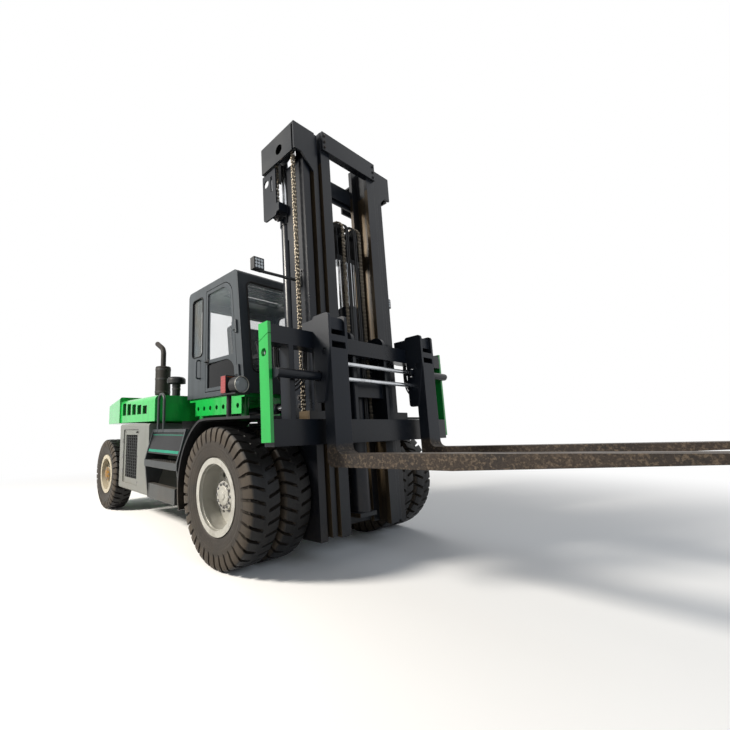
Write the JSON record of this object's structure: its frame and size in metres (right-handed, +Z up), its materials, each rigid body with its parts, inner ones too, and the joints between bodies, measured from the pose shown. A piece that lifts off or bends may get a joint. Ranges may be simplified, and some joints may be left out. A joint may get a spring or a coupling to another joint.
{
  "type": "heavy diesel forklift truck",
  "caption": "Heavy counterbalance diesel forklift with a three-stage mast, side shift forks with positioners, closed cab and twin drive tyres.",
  "frame": {"origin": "centre of the bounding box on the ground", "axes": "+X forward to the forks, +Y to the left, +Z up"},
  "size_m": [7.6902, 2.552, 4.2051],
  "materials": {
    "frame_black": "worn satin black paint",
    "axle_dark": "dusty dark cast metal",
    "green_paint": "bright green enamel",
    "engine_grey": "dull grey engine paint",
    "grey_paint": "mid grey enamel",
    "cab_grey": "light grey enamel",
    "cab_glazing": "clear safety glass",
    "seat_vinyl": "black seat vinyl",
    "console_plastic": "black moulded plastic",
    "exhaust_black": "heat-dulled black",
    "intake_black": "black moulded intake",
    "lamp_housing": "black lamp housing with clear and red lenses",
    "tyre_rubber": "dusty industrial tyre rubber",
    "rim_silver": "silver wheel paint",
    "rim_cream": "cream wheel paint with a gold hub",
    "mast_blue_grey": "dark blue-grey paint, greasy on the running faces",
    "chain_steel": "oiled steel leaf chain",
    "chrome_rod": "hard chrome",
    "fork_brown": "dusty brown-black forged fork"
  },
  "bodies": {
    "root": {"chassis_frame": "frame_black", "drive_axle": "axle_dark", "steer_axle": "axle_dark", "counterweight": "green_paint", "engine_block": "engine_grey", "engine_shroud": "green_paint", "side_tanks": "grey_paint", "fenders": "frame_black", "steps": "frame_black", "cab_frame": "cab_grey", "cab_glass": "cab_glazing", "cab_floor": "green_paint", "operator_seat": "seat_vinyl", "steering_console": "console_plastic", "exhaust_stack": "exhaust_black", "air_intake": "intake_black", "headlamps": "lamp_housing"},
    "engine_hood": {"engine_hood": "green_paint"},
    "door_left": {"door_left": "cab_grey", "door_glass_left": "cab_glazing"},
    "door_right": {"door_right": "cab_grey", "door_glass_right": "cab_glazing"},
    "drive_wheels_left": {"drive_tyres_left": "tyre_rubber", "drive_rims_left": "rim_silver"},
    "drive_wheels_right": {"drive_tyres_right": "tyre_rubber", "drive_rims_right": "rim_silver"},
    "steer_knuckle_left": {"knuckle_left": "axle_dark"},
    "steer_knuckle_right": {"knuckle_right": "axle_dark"},
    "steer_wheel_left": {"steer_tyre_left": "tyre_rubber", "steer_rim_left": "rim_cream"},
    "steer_wheel_right": {"steer_tyre_right": "tyre_rubber", "steer_rim_right": "rim_cream"},
    "mast_outer": {"mast_outer": "mast_blue_grey", "lift_cylinder_tubes": "mast_blue_grey", "work_lamps": "lamp_housing"},
    "mast_middle": {"mast_middle": "mast_blue_grey", "side_chains": "chain_steel", "lift_cylinder_rods": "chrome_rod"},
    "mast_inner": {"mast_inner": "mast_blue_grey", "free_lift_tube": "mast_blue_grey"},
    "free_lift_rod": {"free_lift_rod": "chrome_rod", "centre_chains": "chain_steel"},
    "tilt_tubes": {"tilt_tubes": "mast_blue_grey"},
    "tilt_rods": {"tilt_rods": "chrome_rod"},
    "carriage": {"carriage_frame": "mast_blue_grey", "carriage_end_plates": "green_paint", "positioner_tubes": "mast_blue_grey"},
    "fork_left": {"fork_left": "fork_brown", "positioner_rod_left": "chrome_rod"},
    "fork_right": {"fork_right": "fork_brown", "positioner_rod_right": "chrome_rod"}
  },
  "joints": [
    {"name": "drive_wheels_left_spin", "type": "hinge", "parent": "root", "child": "drive_wheels_left", "pos_m": [0.35328, 1.276, 0.62], "axis": [0, 1, 0], "continuous": true},
    {"name": "drive_wheels_right_spin", "type": "hinge", "parent": "root", "child": "drive_wheels_right", "pos_m": [0.35328, -1.276, 0.62], "axis": [0, 1, 0], "continuous": true},
    {"name": "steer_left", "type": "hinge", "parent": "root", "child": "steer_knuckle_left", "pos_m": [-3.24672, 0.8, 0.536], "axis": [0, 0, 1], "range_deg": [-50, 50]},
    {"name": "steer_right", "type": "hinge", "parent": "root", "child": "steer_knuckle_right", "pos_m": [-3.24672, -0.8, 0.536], "axis": [0, 0, 1], "range_deg": [-50, 50]},
    {"name": "steer_wheel_left_spin", "type": "hinge", "parent": "steer_knuckle_left", "child": "steer_wheel_left", "pos_m": [-3.24672, 0.8, 0.536], "axis": [0, 1, 0], "continuous": true},
    {"name": "steer_wheel_right_spin", "type": "hinge", "parent": "steer_knuckle_right", "child": "steer_wheel_right", "pos_m": [-3.24672, -0.8, 0.536], "axis": [0, 1, 0], "continuous": true},
    {"name": "door_left_swing", "type": "hinge", "parent": "root", "child": "door_left", "pos_m": [-0.05843, 0.741, 1.8142], "axis": [0.1146, 0, -0.9934], "range_deg": [0, 80]},
    {"name": "door_right_swing", "type": "hinge", "parent": "root", "child": "door_right", "pos_m": [-0.05843, -0.741, 1.8142], "axis": [-0.1146, 0, 0.9934], "range_deg": [0, 80]},
    {"name": "engine_hood_lift", "type": "hinge", "parent": "root", "child": "engine_hood", "pos_m": [-2.73972, 0, 1.745], "axis": [0, -1, 0], "range_deg": [0, 60]},
    {"name": "mast_tilt", "type": "hinge", "parent": "root", "child": "mast_outer", "pos_m": [0.61339, 0, 0.54697], "axis": [0, 1, 0], "range_deg": [-9.6, 8.4]},
    {"name": "tilt_tubes_swing", "type": "hinge", "parent": "root", "child": "tilt_tubes", "pos_m": [-0.60672, 0, 1.375], "axis": [0, 1, 0], "range_deg": [-3, 3]},
    {"name": "tilt_rods_slide", "type": "slide", "parent": "tilt_tubes", "child": "tilt_rods", "axis": [0.9982, 0, 0.0598], "range_m": [-0.17, 0.15]},
    {"name": "middle_lift", "type": "slide", "parent": "mast_outer", "child": "mast_middle", "axis": [-0.0419, 0, 0.9991], "range_m": [0, 1.35]},
    {"name": "inner_lift", "type": "slide", "parent": "mast_middle", "child": "mast_inner", "axis": [-0.0419, 0, 0.9991], "range_m": [0, 1.35]},
    {"name": "carriage_lift", "type": "slide", "parent": "mast_inner", "child": "carriage", "axis": [-0.0419, 0, 0.9991], "range_m": [-0.82, 0.75]},
    {"name": "free_lift_rod_slide", "type": "slide", "parent": "mast_inner", "child": "free_lift_rod", "axis": [-0.0419, 0, 0.9991], "range_m": [-0.42, 0.38]},
    {"name": "fork_left_shift", "type": "slide", "parent": "carriage", "child": "fork_left", "axis": [0, 1, 0], "range_m": [-0.295, 0.36]},
    {"name": "fork_right_shift", "type": "slide", "parent": "carriage", "child": "fork_right", "axis": [0, -1, 0], "range_m": [-0.295, 0.36]}
  ],
  "couplings": [
    {"joint": "steer_right", "follows": "steer_left", "ratio": 1},
    {"joint": "tilt_tubes_swing", "follows": "mast_tilt", "ratio": 0.01574},
    {"joint": "tilt_rods_slide", "follows": "mast_tilt", "m_per_rad": 0.89633},
    {"joint": "inner_lift", "follows": "middle_lift", "ratio": 1},
    {"joint": "free_lift_rod_slide", "follows": "carriage_lift", "ratio": 0.5}
  ]
}
